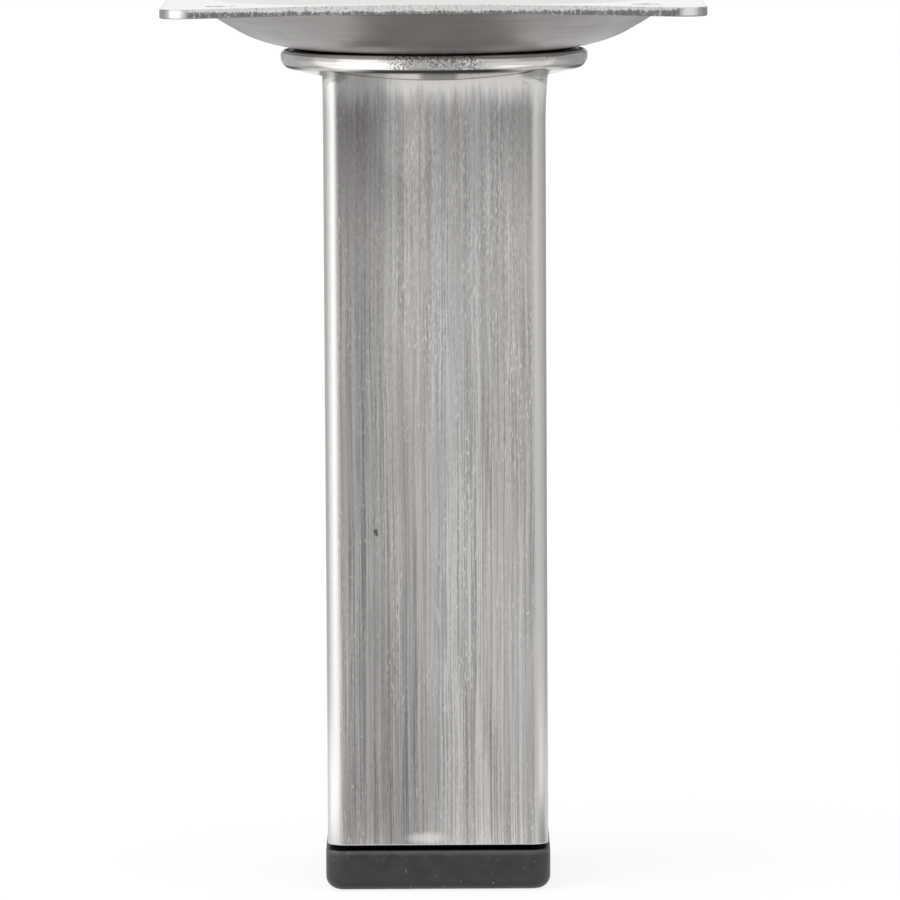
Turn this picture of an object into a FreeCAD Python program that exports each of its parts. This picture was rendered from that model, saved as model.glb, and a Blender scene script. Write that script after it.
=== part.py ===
"""Square metal table leg: a pressed mounting plate bolted to a collar, a square tube and a plastic foot cap.

Millimetres, +Z up. The origin is the middle of the foot's underside, and the front of the leg faces -Y.
"""
import FreeCAD
import Part

import enum
import math
import os

import Sketcher

# Driving dimensions
SIZES = {
    # Whole leg, from the floor to the top of the mounting plate
    "leg_height": 153.0,
    # Square tube
    "tube_width": 38.0,
    "tube_wall": 1.5,
    "tube_corner": 3.0,
    "tube_edge": 0.25,
    # Mounting plate: flat land around the dish, with one screw hole in each corner
    "plate_thickness": 1.6,
    "plate_land": 4.38,
    "plate_corner": 5.0,
    "plate_edge": 0.25,
    "screw_inset": 10.0,
    "screw_hole": 5.0,
    # Dish pressed into the plate: its bends are measured on the side that is hollow
    "dish_wall_angle": 32.0,
    "dish_bend": 17.8,
    "dish_rim_bend": 2.0,
    # Collar: a saucer whose rolled rim bears on the underside of the dish
    "collar_margin": 0.9,
    "collar_sheet": 2.0,
    "collar_bend": 0.25,
    "collar_lip": 0.2,
    "collar_slope": 12.0,
    "collar_floor_gap": 1.5,
    "seat_offset": 2.2,
    "seat_clearance": 0.02,
    # Bolt, washer and nut that clamp the plate to the collar
    "bolt_diameter": 6.0,
    "bolt_clearance": 1.0,
    "bolt_end": 1.0,
    "bolt_end_chamfer": 0.6,
    "head_across": 10.0,
    "head_height": 4.0,
    "head_recess": 1.8,
    "washer_diameter": 12.0,
    "washer_clearance": 0.4,
    "washer_thickness": 1.6,
    "nut_across": 10.0,
    "nut_height": 5.0,
    "thread_clearance": 0.05,
    # Foot cap: a head below the tube and a finned plug inside it
    "cap_head": 7.1,
    "cap_gap": 0.75,
    "cap_overhang": 0.35,
    "cap_round": 2.3,
    "cap_edge": 0.4,
    "cap_floor": 2.5,
    "plug_wall": 2.0,
    "plug_nose": 2.0,
    "plug_clearance": 0.02,
    "fin_depth": 1.2,
    "fin_thickness": 1.2,
    "fin_lead": 2.0,
    "fin_pitch": 5.0,
}
FIN_COUNT = 3

# A hexagon's corners are turned off at 30 degrees, from a circle of 0.95 of its width across flats
HEX_CIRCLE = 0.95 / 2
HEX_TURNING = 30
HEX_REACH = 1.05

# Sizes worked out from the driving dimensions. Radii are measured from the leg's axis. Heights of the plate's
# section start at the plate's top, and heights of the collar's section start at the middle of its rolled rim.
DERIVED = {
    "tube_half": "Sizes.tube_width / 2",
    "bore_half": "tube_half - Sizes.tube_wall",
    "bore_corner": "max(Sizes.tube_corner - Sizes.tube_wall; Sizes.tube_edge)",
    "bolt_radius": "Sizes.bolt_diameter / 2",
    "bolt_hole_radius": "(Sizes.bolt_diameter + Sizes.bolt_clearance) / 2",
    "washer_hole_radius": "(Sizes.bolt_diameter + Sizes.washer_clearance) / 2",
    # Collar section
    "collar_radius": "(tube_half - Sizes.tube_corner) * sqrt(2) + Sizes.tube_corner + Sizes.collar_margin",
    "rim_roll": "Sizes.collar_sheet / 2",
    "rim_radius": "collar_radius - rim_roll",
    "rim_inside": "collar_radius - Sizes.collar_sheet",
    "collar_bend_under": "Sizes.collar_bend + Sizes.collar_sheet",
    "collar_bend_radius": "collar_radius - collar_bend_under",
    "slope_under_radius": "collar_bend_radius + collar_bend_under * sin(Sizes.collar_slope)",
    "slope_under_height": "-Sizes.collar_lip - collar_bend_under * cos(Sizes.collar_slope)",
    "slope_top_radius": "collar_bend_radius + Sizes.collar_bend * sin(Sizes.collar_slope)",
    "slope_top_height": "-Sizes.collar_lip - Sizes.collar_bend * cos(Sizes.collar_slope)",
    "floor_under_radius": "bore_half - Sizes.collar_floor_gap",
    "floor_under": "slope_under_height - (slope_under_radius - floor_under_radius) * tan(Sizes.collar_slope)",
    "floor_top_radius": "floor_under_radius - Sizes.collar_sheet * tan(Sizes.collar_slope / 2)",
    "floor_top": "floor_under + Sizes.collar_sheet",
    # Plate section: the dish is deep enough to sink the washer and the bolt's head
    "dish_depth": "Sizes.washer_thickness + Sizes.head_height + Sizes.head_recess",
    "dish_floor_radius": "rim_radius - Sizes.seat_offset",
    "dish_bend_under": "Sizes.dish_bend + Sizes.plate_thickness",
    "dish_bend_height": "Sizes.dish_bend - dish_depth",
    "dish_rim_top": "Sizes.dish_rim_bend + Sizes.plate_thickness",
    "wall_sine": "sin(Sizes.dish_wall_angle)",
    "wall_cosine": "cos(Sizes.dish_wall_angle)",
    "wall_rise": "dish_depth - dish_bend_under * (1 - wall_cosine)",
    "wall_run": "wall_rise / tan(Sizes.dish_wall_angle)",
    "rim_run": "Sizes.dish_rim_bend * tan(Sizes.dish_wall_angle / 2)",
    "land_radius": "dish_floor_radius + dish_bend_under * wall_sine + wall_run + rim_run",
    "plate_half": "land_radius + Sizes.plate_land",
    "screw_place": "plate_half - Sizes.screw_inset",
    # Heights above the floor
    "dish_floor_height": "Sizes.leg_height - dish_depth",
    "seat_reach": "dish_bend_under + rim_roll + Sizes.seat_clearance",
    "seat_drop": "sqrt(pow(seat_reach; 2) - pow(Sizes.seat_offset; 2))",
    "rim_height": "dish_floor_height - Sizes.plate_thickness + dish_bend_under - seat_drop",
    "head_seat_height": "dish_floor_height + Sizes.washer_thickness",
    "nut_seat_height": "rim_height + floor_under",
    "shank_length": "head_seat_height - nut_seat_height + Sizes.nut_height + Sizes.bolt_end",
    "tube_foot_height": "Sizes.cap_head + Sizes.cap_gap",
    "tube_rise": "rim_height - tube_foot_height",
    # Foot cap
    "cap_half": "tube_half + Sizes.cap_overhang",
    "cap_corner": "Sizes.tube_corner + Sizes.cap_overhang",
    "head_round": "min(Sizes.cap_round; cap_corner - Sizes.cap_edge)",
    "plug_half": "bore_half - Sizes.fin_depth",
    "plug_hollow": "plug_half - Sizes.plug_wall",
    "fin_half": "bore_half - Sizes.plug_clearance",
    "first_fin": "tube_foot_height + Sizes.fin_lead",
    "plug_top": f"first_fin + {FIN_COUNT - 1} * Sizes.fin_pitch + Sizes.fin_thickness + Sizes.plug_nose",
}


class Spot(enum.IntEnum):
    """A sketch's own numbers for its origin and for the points of an edge."""

    ORIGIN = -1
    START = 1
    END = 2
    MIDDLE = 3


class Turn(enum.IntEnum):
    """The side to which an arc bends as it leaves a corner."""

    LEFT = 1
    RIGHT = -1


def make_sizes(doc):
    """Put the driving dimensions in a sheet and bind the worked-out sizes to it."""
    sheet = doc.addObject("Spreadsheet::Sheet", "Sizes")
    for row, (name, value) in enumerate(SIZES.items(), start=1):
        sheet.set(f"A{row}", name)
        sheet.set(f"B{row}", str(value))
        sheet.setAlias(f"B{row}", name)
    derived = doc.addObject("App::VarSet", "Derived")
    for name in DERIVED:
        derived.addProperty("App::PropertyFloat", name)
    for name, expression in DERIVED.items():
        derived.setExpression(name, expression)
    doc.recompute()


def draft(body, expression):
    """The number that an expression gives now. A sketch is drawn with it first and then bound to it."""
    return float(body.evalExpression(expression))


def make_body(doc, label, height=None):
    """An empty body, set at a height above the floor."""
    body = doc.addObject("PartDesign::Body", label)
    body.Label = label
    if height:
        body.setExpression("Placement.Base.z", height)
    return body


def make_sketch(body, name, role, height=None):
    """An empty sketch on one of the body's own origin planes, raised by a height if one is given."""
    plane = next(item for item in body.Origin.OriginFeatures if item.Role == role)
    sketch = body.newObject("Sketcher::SketchObject", f"{body.Label}_{name}")
    sketch.AttachmentSupport = [(plane, "")]
    sketch.MapMode = "FlatFace"
    if height:
        sketch.setExpression("AttachmentOffset.Base.z", height)
    return sketch


def bind(sketch, constraint, expression):
    """Add a constraint and tie its value to an expression."""
    index = sketch.addConstraint(constraint)
    sketch.setExpression(f"Constraints[{index}]", expression)


def pin(sketch, edge, end, across, up):
    """Tie one point of an edge to its place in the sketch, given as two expressions."""
    for kind, expression in (("DistanceX", across), ("DistanceY", up)):
        value = draft(sketch, expression)
        bind(sketch, Sketcher.Constraint(kind, Spot.ORIGIN, Spot.START, edge, end, value), expression)


def arc_between(start, end, radius, turn):
    """An arc of less than half a turn between two points, bending to one side of its way."""
    chord = end - start
    middle = (start + end) / 2
    side = FreeCAD.Vector(-chord.y, chord.x, 0).normalize()
    reach = math.sqrt(radius ** 2 - (chord.Length / 2) ** 2)
    return Part.Arc(start, middle + side * turn * (reach - radius), end)


def draw_outline(sketch, corners):
    """Draw a closed outline through corners and pin each one.

    A corner is (across, up), or (across, up, radius, turn) where an arc leaves it for the next corner.
    """
    places = [FreeCAD.Vector(draft(sketch, corner[0]), draft(sketch, corner[1]), 0) for corner in corners]
    edges = []
    for index, corner in enumerate(corners):
        start = places[index]
        end = places[(index + 1) % len(corners)]
        if len(corner) == 2:
            curve = Part.LineSegment(start, end)
        else:
            curve = arc_between(start, end, draft(sketch, corner[2]), corner[3])
        edge = sketch.addGeometry(curve, False)
        forward = sketch.getPoint(edge, Spot.START).isEqual(start, 1e-6)
        edges.append((edge, Spot.START, Spot.END) if forward else (edge, Spot.END, Spot.START))
    for index, corner in enumerate(corners):
        edge, first, last = edges[index]
        following, following_first, _ = edges[(index + 1) % len(corners)]
        pin(sketch, edge, first, corner[0], corner[1])
        sketch.addConstraint(Sketcher.Constraint("Coincident", edge, last, following, following_first))
        if len(corner) > 2:
            bind(sketch, Sketcher.Constraint("Radius", edge, draft(sketch, corner[2])), corner[2])


def draw_rounded_square(sketch, half, corner):
    """A square about the axis, with rounded corners, from half its width and its corner radius."""
    flat = f"({half} - {corner})"
    corners = []
    for across, up in ((1, -1), (1, 1), (-1, 1), (-1, -1)):
        beside = (f"{across} * {half}", f"{up} * {flat}")
        along = (f"{across} * {flat}", f"{up} * {half}")
        first, second = (along, beside) if across * up < 0 else (beside, along)
        corners.append((*first, corner, Turn.LEFT))
        corners.append(second)
    draw_outline(sketch, corners)


def draw_circle(sketch, across, up, radius):
    """A circle whose middle and radius are given as expressions."""
    circle = Part.Circle()
    circle.Center = FreeCAD.Vector(draft(sketch, across), draft(sketch, up), 0)
    circle.Radius = draft(sketch, radius)
    edge = sketch.addGeometry(circle, False)
    pin(sketch, edge, Spot.MIDDLE, across, up)
    bind(sketch, Sketcher.Constraint("Radius", edge, circle.Radius), radius)


def draw_hexagon(sketch, across_flats):
    """A hexagon about the axis, from its width across flats."""
    corners = []
    for turn in range(0, 360, 60):
        corners.append((f"{across_flats} / sqrt(3) * cos({turn})", f"{across_flats} / sqrt(3) * sin({turn})"))
    draw_outline(sketch, corners)


def add_pad(sketch, length, downwards=False):
    """Raise a sketch into a solid, up or down from its plane."""
    body = sketch.getParentGeoFeatureGroup()
    pad = body.newObject("PartDesign::Pad", f"{sketch.Name}_pad")
    pad.Profile = sketch
    pad.Reversed = downwards
    pad.setExpression("Length", length)
    return pad


def add_pocket(sketch, length):
    """Cut a sketch down from its plane."""
    body = sketch.getParentGeoFeatureGroup()
    pocket = body.newObject("PartDesign::Pocket", f"{sketch.Name}_pocket")
    pocket.Profile = sketch
    pocket.setExpression("Length", length)
    return require_less(body, pocket)


def add_turned(sketch, kind):
    """Turn a sketch about the axis, as a Revolution that adds or a Groove that cuts."""
    body = sketch.getParentGeoFeatureGroup()
    turned = body.newObject(f"PartDesign::{kind}", f"{sketch.Name}_turned")
    turned.Profile = sketch
    turned.ReferenceAxis = (sketch, ["V_Axis"])
    turned.Angle = 360.0
    return require_less(body, turned) if kind == "Groove" else turned


def require_less(body, cut):
    """Stop if a cut took nothing away."""
    body.Document.recompute()
    if not cut.Shape.Volume < cut.BaseFeature.Shape.Volume:
        raise RuntimeError(f"{cut.Name} cuts nothing")
    return cut


def add_edge_round(body, kind, size, chosen):
    """Fillet or chamfer the edges of the body's tip that the chosen test picks."""
    body.Document.recompute()
    base = body.Tip
    names = [f"Edge{index}" for index, edge in enumerate(base.Shape.Edges, start=1) if chosen(edge.BoundBox)]
    feature = body.newObject(f"PartDesign::{kind}", f"{body.Label}_{kind}{len(body.Group)}")
    feature.Base = (base, names)
    feature.setExpression("Radius" if kind == "Fillet" else "Size", size)
    return feature


def lies_at(body, height, beyond):
    """A test for edges that lie flat at a height of the body, further than a distance from the axis."""
    level = draft(body, height)
    reach = draft(body, beyond)

    def chosen(box):
        flat = abs(box.ZMin - level) < 1e-4 and abs(box.ZMax - level) < 1e-4
        return flat and max(abs(box.XMin), abs(box.XMax), abs(box.YMin), abs(box.YMax)) > reach

    return chosen


def cut_hex_chamfer(body, across_flats, height, upwards):
    """Turn the corners off one end of a hexagon, as on a bolt's head."""
    sign = "1" if upwards else "-1"
    inner = f"{HEX_CIRCLE} * {across_flats}"
    outer = f"{HEX_REACH} * {across_flats} / sqrt(3)"
    sketch = make_sketch(body, "corner_turning", "XZ_Plane")
    draw_outline(sketch, [
        (inner, height),
        (outer, height),
        (outer, f"{height} - {sign} * ({outer} - {inner}) * tan({HEX_TURNING})"),
    ])
    add_turned(sketch, "Groove")


def make_mounting_plate(doc):
    """Square plate with a dish pressed into it. Its own zero height is the plate's top."""
    body = make_body(doc, "mounting_plate", "Sizes.leg_height")
    dish = make_sketch(body, "dish", "XZ_Plane")
    draw_outline(dish, [
        # Upper side, from the bolt hole out to the flat land
        ("Derived.bolt_hole_radius", "-Derived.dish_depth"),
        ("Derived.dish_floor_radius", "-Derived.dish_depth", "Sizes.dish_bend", Turn.LEFT),
        ("Derived.dish_floor_radius + Sizes.dish_bend * Derived.wall_sine",
         "Derived.dish_bend_height - Sizes.dish_bend * Derived.wall_cosine"),
        ("Derived.land_radius - Derived.dish_rim_top * Derived.wall_sine",
         "Derived.dish_rim_top * (Derived.wall_cosine - 1)", "Derived.dish_rim_top", Turn.RIGHT),
        ("Derived.land_radius", "0"),
        # Underside, from the flat land back to the bolt hole
        ("Derived.land_radius", "-Sizes.plate_thickness", "Sizes.dish_rim_bend", Turn.LEFT),
        ("Derived.land_radius - Sizes.dish_rim_bend * Derived.wall_sine",
         "Sizes.dish_rim_bend * Derived.wall_cosine - Derived.dish_rim_top"),
        ("Derived.dish_floor_radius + Derived.dish_bend_under * Derived.wall_sine",
         "Derived.dish_bend_height - Derived.dish_bend_under * Derived.wall_cosine",
         "Derived.dish_bend_under", Turn.RIGHT),
        ("Derived.dish_floor_radius", "-Derived.dish_depth - Sizes.plate_thickness"),
        ("Derived.bolt_hole_radius", "-Derived.dish_depth - Sizes.plate_thickness"),
    ])
    add_turned(dish, "Revolution")
    land = make_sketch(body, "land", "XY_Plane")
    draw_rounded_square(land, "Derived.plate_half", "Sizes.plate_corner")
    draw_circle(land, "0", "0", "Derived.land_radius")
    add_pad(land, "Sizes.plate_thickness", downwards=True)
    holes = make_sketch(body, "screw_holes", "XY_Plane")
    for across, up in ((1, 1), (-1, 1), (-1, -1), (1, -1)):
        place = (f"{across} * Derived.screw_place", f"{up} * Derived.screw_place")
        draw_circle(holes, *place, "Sizes.screw_hole / 2")
    add_pocket(holes, "Sizes.plate_thickness * 2")
    for height in ("0", "-Sizes.plate_thickness"):
        rim = lies_at(body, height, "Derived.plate_half - Sizes.plate_edge")
        add_edge_round(body, "Fillet", "Sizes.plate_edge", rim)
    return body


def collar_underside(rise):
    """The collar's underside, from its flat floor out to its lip, raised by an expression."""
    return [
        ("Derived.floor_under_radius", f"Derived.floor_under + {rise}"),
        ("Derived.slope_under_radius", f"Derived.slope_under_height + {rise}",
         "Derived.collar_bend_under", Turn.LEFT),
        ("Derived.collar_radius", f"{rise} - Sizes.collar_lip"),
    ]


def make_collar(doc):
    """Pressed saucer with a rolled rim. Its own zero height is the middle of the rim."""
    body = make_body(doc, "collar", "Derived.rim_height")
    section = make_sketch(body, "section", "XZ_Plane")
    draw_outline(section, [
        ("Derived.bolt_hole_radius", "Derived.floor_under"),
        *collar_underside("0"),
        ("Derived.collar_radius", "0", "Derived.rim_roll", Turn.LEFT),
        ("Derived.rim_radius", "Derived.rim_roll", "Derived.rim_roll", Turn.LEFT),
        ("Derived.rim_inside", "0"),
        ("Derived.rim_inside", "-Sizes.collar_lip", "Sizes.collar_bend", Turn.RIGHT),
        ("Derived.slope_top_radius", "Derived.slope_top_height"),
        ("Derived.floor_top_radius", "Derived.floor_top"),
        ("Derived.bolt_hole_radius", "Derived.floor_top"),
    ])
    add_turned(section, "Revolution")
    return body


def make_leg_tube(doc):
    """Square tube shaped to the collar's underside at its upper end. Its own zero height is its lower end."""
    body = make_body(doc, "leg_tube", "Derived.tube_foot_height")
    section = make_sketch(body, "section", "XY_Plane")
    draw_rounded_square(section, "Derived.tube_half", "Sizes.tube_corner")
    draw_rounded_square(section, "Derived.bore_half", "Derived.bore_corner")
    add_pad(section, "Derived.tube_rise")
    seat = make_sketch(body, "collar_seat", "XZ_Plane")
    draw_outline(seat, [
        ("0", "Derived.floor_under + Derived.tube_rise"),
        *collar_underside("Derived.tube_rise"),
        ("Derived.collar_radius", "Derived.tube_rise + Derived.rim_roll"),
        ("0", "Derived.tube_rise + Derived.rim_roll"),
    ])
    add_turned(seat, "Groove")
    foot = lies_at(body, "0", "Derived.tube_half - Sizes.tube_edge")
    add_edge_round(body, "Fillet", "Sizes.tube_edge", foot)
    return body


def make_foot_cap(doc):
    """Moulded cap: a rounded head below the tube, and a hollow plug with fins that grip the bore."""
    body = make_body(doc, "foot_cap")
    head = make_sketch(body, "head", "XY_Plane")
    draw_rounded_square(head, "Derived.cap_half", "Derived.cap_corner")
    add_pad(head, "Sizes.cap_head")
    underside = lies_at(body, "0", "0")
    add_edge_round(body, "Fillet", "Derived.head_round", underside)
    top = lies_at(body, "Sizes.cap_head", "0")
    add_edge_round(body, "Fillet", "Sizes.cap_edge", top)
    plug = make_sketch(body, "plug", "XY_Plane", "Sizes.cap_head")
    draw_rounded_square(plug, "Derived.plug_half", "Derived.bore_corner")
    add_pad(plug, "Derived.plug_top - Sizes.cap_head")
    for index in range(FIN_COUNT):
        height = f"Derived.first_fin + {index} * Sizes.fin_pitch"
        fin = make_sketch(body, f"fin_{index + 1}", "XY_Plane", height)
        draw_rounded_square(fin, "Derived.fin_half", "Derived.bore_corner")
        add_pad(fin, "Sizes.fin_thickness")
    hollow = make_sketch(body, "hollow", "XY_Plane", "Derived.plug_top")
    draw_rounded_square(hollow, "Derived.plug_hollow", "Derived.bore_corner")
    add_pocket(hollow, "Derived.plug_top - Sizes.cap_floor")
    return body


def make_fixing_bolt(doc):
    """Hex bolt, head up. Its own zero height is the face under its head."""
    body = make_body(doc, "fixing_bolt", "Derived.head_seat_height")
    head = make_sketch(body, "head", "XY_Plane")
    draw_hexagon(head, "Sizes.head_across")
    add_pad(head, "Sizes.head_height")
    cut_hex_chamfer(body, "Sizes.head_across", "Sizes.head_height", upwards=True)
    shank = make_sketch(body, "shank", "XY_Plane")
    draw_circle(shank, "0", "0", "Derived.bolt_radius")
    add_pad(shank, "Derived.shank_length", downwards=True)
    end = lies_at(body, "-Derived.shank_length", "0")
    add_edge_round(body, "Chamfer", "Sizes.bolt_end_chamfer", end)
    return body


def make_flat_washer(doc):
    """Plain washer that lies on the dish's floor."""
    body = make_body(doc, "flat_washer", "Derived.dish_floor_height")
    ring = make_sketch(body, "ring", "XY_Plane")
    draw_circle(ring, "0", "0", "Sizes.washer_diameter / 2")
    draw_circle(ring, "0", "0", "Derived.washer_hole_radius")
    add_pad(ring, "Sizes.washer_thickness")
    return body


def make_weld_nut(doc):
    """Hex nut that hangs from the collar's floor, inside the tube. Its own zero height is its upper face."""
    body = make_body(doc, "weld_nut", "Derived.nut_seat_height")
    section = make_sketch(body, "section", "XY_Plane")
    draw_hexagon(section, "Sizes.nut_across")
    draw_circle(section, "0", "0", "Derived.bolt_radius + Sizes.thread_clearance")
    add_pad(section, "Sizes.nut_height", downwards=True)
    cut_hex_chamfer(body, "Sizes.nut_across", "-Sizes.nut_height", upwards=False)
    return body


def check(doc, pieces):
    """Stop if any object failed, or if a piece is not one sound solid."""
    for item in doc.Objects:
        if {"Invalid", "Error"} & set(item.State):
            raise RuntimeError(f"{item.Name} failed: {item.State}")
    for piece in pieces:
        shape = piece.Shape
        if shape.isNull() or not shape.isValid() or len(shape.Solids) != 1:
            raise RuntimeError(f"{piece.Label} is not one sound solid")


def main():
    doc = FreeCAD.newDocument("table_leg")
    make_sizes(doc)
    makers = (
        make_mounting_plate,
        make_collar,
        make_leg_tube,
        make_foot_cap,
        make_fixing_bolt,
        make_flat_washer,
        make_weld_nut,
    )
    pieces = [make(doc) for make in makers]
    doc.recompute()
    check(doc, pieces)
    os.makedirs("parts", exist_ok=True)
    for piece in pieces:
        piece.Shape.exportStep(f"parts/{piece.Label}.step")
        box = piece.Shape.optimalBoundingBox(False)
        print(f"{piece.Label}: {piece.Shape.Volume:.1f} mm3, z {box.ZMin:.3f} to {box.ZMax:.3f}, "
              f"{box.XLength:.3f} x {box.YLength:.3f}")


main()
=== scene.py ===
"""Looks of the square metal table leg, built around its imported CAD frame. Metres, same frame as the CAD."""
import math

import bmesh
import bpy
from mathutils import Matrix, Vector


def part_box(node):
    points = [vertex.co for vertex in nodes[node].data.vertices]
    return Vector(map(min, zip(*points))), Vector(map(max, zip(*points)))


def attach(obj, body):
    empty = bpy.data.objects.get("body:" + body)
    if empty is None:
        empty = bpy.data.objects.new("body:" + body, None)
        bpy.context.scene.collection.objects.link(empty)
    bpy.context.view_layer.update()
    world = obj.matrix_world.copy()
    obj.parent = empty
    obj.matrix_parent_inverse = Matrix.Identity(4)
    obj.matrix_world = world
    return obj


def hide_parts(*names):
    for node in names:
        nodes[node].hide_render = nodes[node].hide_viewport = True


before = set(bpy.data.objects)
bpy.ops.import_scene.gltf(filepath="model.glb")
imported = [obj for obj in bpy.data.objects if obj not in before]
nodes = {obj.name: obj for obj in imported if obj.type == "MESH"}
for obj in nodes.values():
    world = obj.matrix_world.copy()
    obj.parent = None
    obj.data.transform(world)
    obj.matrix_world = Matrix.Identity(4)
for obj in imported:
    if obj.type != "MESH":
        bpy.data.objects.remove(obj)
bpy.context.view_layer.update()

MM = 0.001

# The photograph's frame and the camera that fits it
FRAME_PIXELS = 900
FOCAL_PIXELS = 6700
SENSOR_WIDTH = 36.0
CAMERA_DISTANCE = 1.1588
CAMERA_HEIGHT = 0.1944
CAMERA_ASIDE = 0.0024
CAMERA_PITCH = math.radians(5.917)
CAMERA_ROLL = math.radians(-0.3)

# Places on the leg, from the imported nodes
PLATE_LOW, PLATE_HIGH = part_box("mounting_plate")
COLLAR_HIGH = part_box("collar")[1]
TUBE_LOW, TUBE_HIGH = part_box("leg_tube")
LEG_MIDDLE = Vector((0, 0, PLATE_HIGH.z / 2))

# The same in millimetres, for the finishes
TUBE_HALF = TUBE_HIGH.x / MM
TUBE_TOP = TUBE_HIGH.z / MM
TUBE_FOOT = TUBE_LOW.z / MM
TUBE_CORNER = 3.0
PLATE_HALF = PLATE_HIGH.x / MM
PLATE_TOP = PLATE_HIGH.z / MM
PLATE_CORNER = 5.0
SCREW_INSET = 10.0
SCREW_RADIUS = 2.5
DISH_FLOOR = PLATE_LOW.z / MM
DISH_WALL_FOOT = 28.0
DISH_WALL_HEAD = 38.0
RIM_TOP = COLLAR_HIGH.z / MM
RIM_MIDDLE = RIM_TOP - 1.0
RIM_LOW = RIM_MIDDLE - 1.85
CAP_SHOULDER = 7.0

# The collar's underside: a cone, then the bend up to the rim
CONE_ANGLE = math.radians(12)
BEND_RADIUS = 2.25
BEND_CENTRE = COLLAR_HIGH.x / MM - BEND_RADIUS
BEND_MIDDLE = RIM_TOP - 1.2
BEND_START = BEND_CENTRE + BEND_RADIUS * math.sin(CONE_ANGLE)
BEND_LOW = BEND_MIDDLE - BEND_RADIUS * math.cos(CONE_ANGLE)

# How far the plate's sides stand up, its corners droop and its dish lifts over the collar's left and right
PLATE_RISE = 0.35 * MM
PLATE_DROOP = 1.1 * MM
SLOT_LIFT = 0.5 * MM
SLOT_INSIDE = 20.5
SLOT_OUTSIDE = 26.0

# How far the weld swells each upper corner of the tube, and where the swelling starts and is full
WELD_SWELL = {(1, -1): 0.48 * MM, (-1, -1): 0.08 * MM, (1, 1): 0.30 * MM, (-1, 1): 0.20 * MM}
SWELL_START = TUBE_TOP - 6.3
SWELL_FULL = TUBE_TOP - 1.5

# Meshes: longest edges, cuts of an edge, the distance that joins two points and the angle of a real edge
PLATE_EDGE = 3.0 * MM
TUBE_EDGE = 5.0 * MM
MOST_CUTS = 8
SAME_POINT = 0.001 * MM
SHARP_ANGLE = math.radians(30)

# The tube's marks and painted light: a painted glow high up in front, a bare spot by the foot painted
# brighter as a highlight, and a small pit
PAINTED_GLOW = {"x": -5.0, "z": 131.0, "half_x": 4.5, "half_z": 8.0}
BARE_HIGHLIGHT_SPOT = {"x": -1.6, "z": TUBE_FOOT + 1.3, "half_x": 3.6, "half_z": 1.1}
PIT_PLACE = (-10.3, -19.0, 62.2)

# The tube's strokes: heights between which they get fainter, and their middle level
FAINT_START = 55.0
FAINT_END = 125.0
LINES_MEAN = 0.405
STROKE_MEAN = 0.60

# Colours of the tube
STROKE_DARK = (0.32, 0.311, 0.306)
STROKE_LIGHT = (0.77, 0.758, 0.748)
TINT_COOL = (0.99, 1.005, 1.0)
TINT_WARM = (1.015, 0.993, 0.985)
BARE_CORNER = (0.64, 0.63, 0.615)
# Bare metal of the band and spot, painted brighter as a highlight
BARE_BAND_HIGHLIGHT = (0.90, 0.88, 0.86)
# Weld stain, and painted shade where the tube meets the collar
WELD_STAIN_SHADE = (0.14, 0.137, 0.133)
# The cut end: a burr, painted lighter as a highlight
CUT_END_HIGHLIGHT = (0.66, 0.65, 0.64)

# Colours of the plate
PLATE_DARK = (0.285, 0.273, 0.265)
PLATE_LIGHT = (0.34, 0.328, 0.318)
# Painted light on the plate's top
LIT_TOP_DARK = (0.78, 0.77, 0.76)
LIT_TOP_LIGHT = (0.86, 0.85, 0.84)
TORN_DARK = (0.25, 0.245, 0.24)
# Light grain of the sheared edge, partly painted glints
TORN_GRAIN_GLINT = (0.92, 0.91, 0.90)
# The round corners: a painted highlight, and painted shade at the sides and on the lip
CORNER_HIGHLIGHT = (0.80, 0.79, 0.78)
CORNER_SHADE = (0.43, 0.42, 0.41)
CORNER_LIP_SHADE = (0.38, 0.37, 0.36)
# Painted light in the screw holes, as on the top
LIT_HOLE = (0.86, 0.85, 0.84)
SLOT_SHADE = (0.05, 0.048, 0.046)

# Colours of the collar
COLLAR_DARK = (0.51, 0.495, 0.481)
COLLAR_LIGHT = (0.59, 0.573, 0.559)
CRUMB_LIGHT = (0.80, 0.78, 0.77)
CRUMB_DARK = (0.24, 0.232, 0.226)
# Painted highlight on the collar's rim
RIM_HIGHLIGHT = (0.84, 0.825, 0.81)
# Painted highlight under the rim in front
WELD_HIGHLIGHT = (0.92, 0.91, 0.90)
# Painted shade on the collar
SHADE_DARK = (0.06, 0.058, 0.055)

# Colours of the fasteners and the foot cap
ZINC_COOL = (0.50, 0.51, 0.53)
ZINC_WARM = (0.62, 0.62, 0.60)
PLASTIC_DARK = (0.015, 0.015, 0.016)
PLASTIC_LIGHT = (0.026, 0.026, 0.027)
# Painted highlight on the cap's top edge
PLASTIC_EDGE_HIGHLIGHT = (0.09, 0.09, 0.088)
PLASTIC_CHAFED = (0.06, 0.06, 0.058)
# Painted shade low on the cap
PLASTIC_LOW_SHADE = (0.006, 0.006, 0.006)
# Painted shade on the plug in the gap
PLASTIC_PLUG_SHADE = (0.002, 0.002, 0.002)
DUST = (0.16, 0.16, 0.16)

# The floor: half its side, its paper, how much of it is plain white, and that white near the foot and far off
FLOOR_HALF = 8.0
PAPER = (0.85, 0.85, 0.85, 1)
WHITE_SHARE = 0.8
WHITE_NEAR = 0.05
WHITE_FAR = 0.5
WHITE_NEAR_LEVEL = 1.05
WHITE_FAR_LEVEL = 1.15

# Cards around the leg: the azimuths of their ends, and their level
LAMP_CARD_SIZE = 0.8
LAMP_CARDS = {
    "card_lamp_left": (-74, -40, 1.8),
    "card_lamp_right": (26, 66, 0.9),
    "card_fill_right": (66, 98, 0.66),
}

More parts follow.
